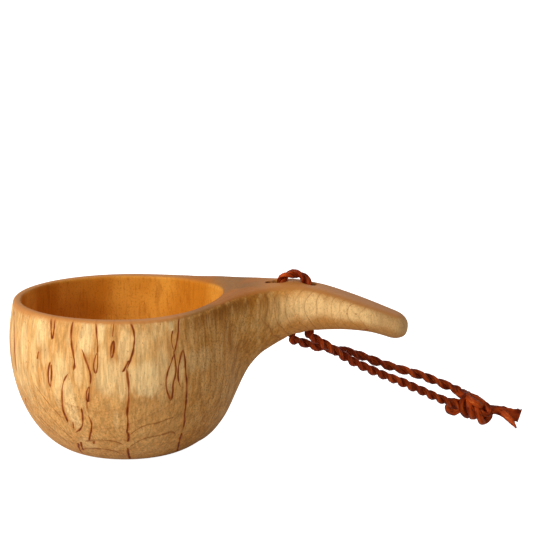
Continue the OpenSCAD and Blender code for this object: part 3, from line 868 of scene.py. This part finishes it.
def spline(points, step):
    """Points every step along a smooth curve through the given ones, and each given point's place."""
    p = np.array(points, float)
    knots = np.concatenate([[0], np.cumsum(np.linalg.norm(np.diff(p, axis=0), axis=1))])
    u = np.linspace(0, knots[-1], 60 * len(p))
    fine = np.stack([curve(list(zip(knots, p[:, i])), u) for i in range(3)], 1)
    length = np.concatenate([[0], np.cumsum(np.linalg.norm(np.diff(fine, axis=0), axis=1))])
    s = np.linspace(0, length[-1], max(2, int(round(length[-1] / step)) + 1))
    out = np.stack([np.interp(s, length, fine[:, i]) for i in range(3)], 1)
    return out, s, np.interp(knots, u, length)


def carried_frame(line, first=(0.0, 0.0, 1.0)):
    """Two directions square to the line at each point, turning as little as the line lets them."""
    way = unit(np.gradient(line, axis=0))
    side = np.empty_like(line)
    v = np.array(first, float)
    for i, d in enumerate(way):
        v = v - d * (v @ d)
        v = v / np.linalg.norm(v)
        side[i] = v
    return side, np.cross(way, side)


def sweep(rings):
    """Faces over rings of points, all with the same number, closed with a fan at each end."""
    count, sides = len(rings), len(rings[0])
    verts = np.concatenate(rings)
    faces = []
    for r in range(count - 1):
        for i in range(sides):
            j = (i + 1) % sides
            faces.append((r * sides + i, r * sides + j, (r + 1) * sides + j, (r + 1) * sides + i))
    verts = np.concatenate([verts, [rings[0].mean(0)], [rings[-1].mean(0)]])
    first, last, top = count * sides, count * sides + 1, (count - 1) * sides
    faces += [(first, (i + 1) % sides, i) for i in range(sides)]
    faces += [(last, top + i, top + (i + 1) % sides) for i in range(sides)]
    return verts, faces


class Lumps:
    """Slow random changes along a strand, the same on every run."""

    def __init__(self, seed, length, gap):
        rng = random.Random(seed)
        self.at = np.arange(0, length + 3 * gap, gap)
        self.value = np.array([rng.uniform(-1, 1) for _ in self.at])

    def __call__(self, s):
        return np.interp(s, self.at, self.value)


def strand_rings(line, s, side, up, wide, thick, turn, seed, creased=0.06):
    """A strand's rings: an uneven oval with a fold, turned by the angle turn about the line."""
    length = float(s[-1]) + 1
    lumps = [Lumps(seed + k, length, g) for k, g in enumerate((1.1, 2.3, 0.7))]
    rings, marks = [], []
    around = 2 * np.pi * np.arange(STRAND_SIDES) / STRAND_SIDES
    for i, c in enumerate(line):
        w = wide[i] * (1 + creased * lumps[0](s[i]))
        h = thick[i] * (1 + creased * lumps[1](s[i]))
        fold = 1 + creased * np.cos(2 * around + 2 * lumps[2](s[i])) + creased * 0.6 * np.cos(
            5 * around + 3 * lumps[0](s[i]))
        u, v = np.cos(around) * w * fold, np.sin(around) * h * fold
        ct, st = math.cos(turn[i]), math.sin(turn[i])
        a = side[i] * ct + up[i] * st
        b = up[i] * ct - side[i] * st
        rings.append(c + np.outer(u, a) + np.outer(v, b))
        marks.append(np.stack([np.full(STRAND_SIDES, s[i]), np.cos(around), np.sin(around)], 1))
    return rings, marks


def join(parts):
    verts, faces, marks, base = [], [], [], 0
    for v, f, m in parts:
        verts.append(v)
        faces += [tuple(i + base for i in face) for face in f]
        marks.append(m)
        base += len(v)
    return np.concatenate(verts), faces, np.concatenate(marks)


def closed(rings, marks):
    verts, faces = sweep(rings)
    marks = np.concatenate([np.concatenate(marks), [marks[0].mean(0)], [marks[-1].mean(0)]])
    return verts, faces, marks


def lace_piece(name, parts, material):
    verts, faces, marks = join(parts)
    piece = new_mesh(name, verts, faces, material)
    point_values(piece, "lace", marks, "FLOAT_VECTOR")
    return piece


def twisted(line, s, side, up, pitch, span, seed):
    """The two strands of the twisted lace between two places along the line."""
    turn_all = np.concatenate([[0], np.cumsum(np.diff(s) * np.pi / ((pitch[1:] + pitch[:-1]) / 2))])
    keep = np.where((s >= span[0] - 1e-6) & (s <= span[1] + 1e-6))[0]
    swell = Lumps(seed, float(s[-1]) + 1, 3.1)
    parts = []
    for k in range(2):
        turn = turn_all + np.pi * k
        out = side * np.cos(turn)[:, None] + up * np.sin(turn)[:, None]
        offset = CORD_D / 2 * 0.49 * (1 + 0.05 * swell(s))
        centre = line + out * offset[:, None]
        wide = np.full(len(s), CORD_D / 2 * 0.50)
        thick = np.full(len(s), CORD_D / 2 * 0.66) * (1 + 0.06 * swell(s + 1.7))
        rings, marks = strand_rings(centre[keep], s[keep], side[keep], up[keep], wide[keep],
                                    thick[keep], turn[keep], seed=seed + 11 * k)
        parts.append(closed(rings, [m[:, [0, 2, 1]] for m in marks]))
    return parts


def make_lace(material):
    """One lace from the knot, up leg A, over the handle and down leg B, cut where its bodies meet."""
    route = LEG_A[::-1] + NECK_A[::-1] + BRIDGE + NECK_B + LEG_B
    line, s, at = spline(route, LACE_STEP)
    side, up = carried_frame(line)
    n = [len(LEG_A), len(NECK_A), len(BRIDGE), len(NECK_B), len(LEG_B)]
    starts = np.cumsum([0] + n)
    neck_a_mid = at[starts[1] + 2]
    hole_a = at[starts[2] + 1]
    hole_b = at[starts[3] - 2]
    neck_b_mid = at[starts[3] + 2]
    pivot_b = at[starts[3]]
    pitch = np.where(s < neck_a_mid, 7.0, 5.6)
    pitch = np.where(s > pivot_b, 5.2, pitch)
    cuts = {
        "lace_leg_a": (0, neck_a_mid), "lace_neck_a": (neck_a_mid, hole_a),
        "lace_bridge": (hole_a, hole_b), "lace_neck_b": (hole_b, neck_b_mid),
        "lace_leg_b": (neck_b_mid, s[-1]),
    }
    pieces, paths = {}, {}
    for name, span in cuts.items():
        snapped = [float(s[np.argmin(np.abs(s - q))]) for q in span]
        parts = twisted(line, s, side, up, pitch, snapped, 21)
        pieces[name] = lace_piece(name, parts, material)
        keep = (s >= snapped[0] - 1e-6) & (s <= snapped[1] + 1e-6)
        paths[name] = line[keep]
    return pieces, paths


def flat_strand(points, wide, thick, turn=(0, 0), seed=3):
    """Flat lace through the points, its broad side to the front; wide and thick are half sizes there."""
    line, s, at = spline(points, STRAND_STEP)
    side, up = carried_frame(line, np.cross(unit(np.subtract(points[1], points[0])), BROAD_SIDE))
    w = np.interp(s, at, np.broadcast_to(wide, len(at)))
    h = np.interp(s, at, np.broadcast_to(thick, len(at)))
    tw = np.radians(np.interp(s, at, np.linspace(turn[0], turn[1], len(at))))
    rings, marks = strand_rings(line, s, side, up, w, h, tw, seed=seed, creased=0.08)
    return closed(rings, marks)


def make_knot(material):
    parts = [flat_strand(points, wide, thick, seed=31 + i)
             for i, (points, wide, thick) in enumerate(KNOT_STRANDS)]
    parts.append(flat_strand(KNOT_CORE, [2.0, 2.7, 3.2, 2.5], [2.0, 2.6, 2.6, 2.3], seed=44))
    return lace_piece("lace_knot", parts, material)


def make_eye(material):
    """Where leg B goes into the knot the lace lies flat and shows a rounded ear."""
    parts = [flat_strand(EYE, [1.2, 2.1, 2.3, 1.8], [1.2, 0.9, 0.9, 0.9], seed=41),
             flat_strand(EYE_LOBE, [1.0, 1.3, 1.5, 1.5, 1.4, 1.0], 0.95, seed=42),
             flat_strand([(136.4, 29, 9), (140.6, 28.8, 8.2)], [1.6, 1.8], 0.8, seed=43)]
    return lace_piece("lace_eye", parts, material)


def make_tail(name, points, half, thick, turn, material, seed):
    part = flat_strand(points, half, thick, turn, seed)
    return lace_piece(name, [part], material)


def make_strap(material):
    lace, paths = make_lace(material)
    knot = make_knot(material)
    eye = make_eye(material)
    tail_a = make_tail("lace_tail_a", TAIL_A, TAIL_A_HALF, [1.0, 0.95, 0.9, 0.7, 0.5, 0.4], (0, 10),
                       material, 51)
    tail_b = make_tail("lace_tail_b", TAIL_B, TAIL_B_HALF, [0.9, 0.9, 0.8, 0.7, 0.3], (0, -15), material, 52)
    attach(lace["lace_bridge"], "bridge")
    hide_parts("strap_bridge")
    for side, pivot, droop in (("a", PIVOT_A, DROOP_A), ("b", PIVOT_B, DROOP_B)):
        neck, leg = lace["lace_neck_" + side], lace["lace_leg_" + side]
        pivot, droop = np.array(pivot), np.array(droop)
        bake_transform(neck)
        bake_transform(leg)
        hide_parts("strap_neck_" + side)
        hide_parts("strap_leg_" + side)
    for piece, cad in ((knot, "strap_knot"), (eye, "strap_eye"), (tail_a, "strap_tail_a"),
                       (tail_b, "strap_tail_b")):
        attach(piece, "loop")
        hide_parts(cad)


make_camera()
make_light()
make_floor()
make_cup()
make_strap(leather())
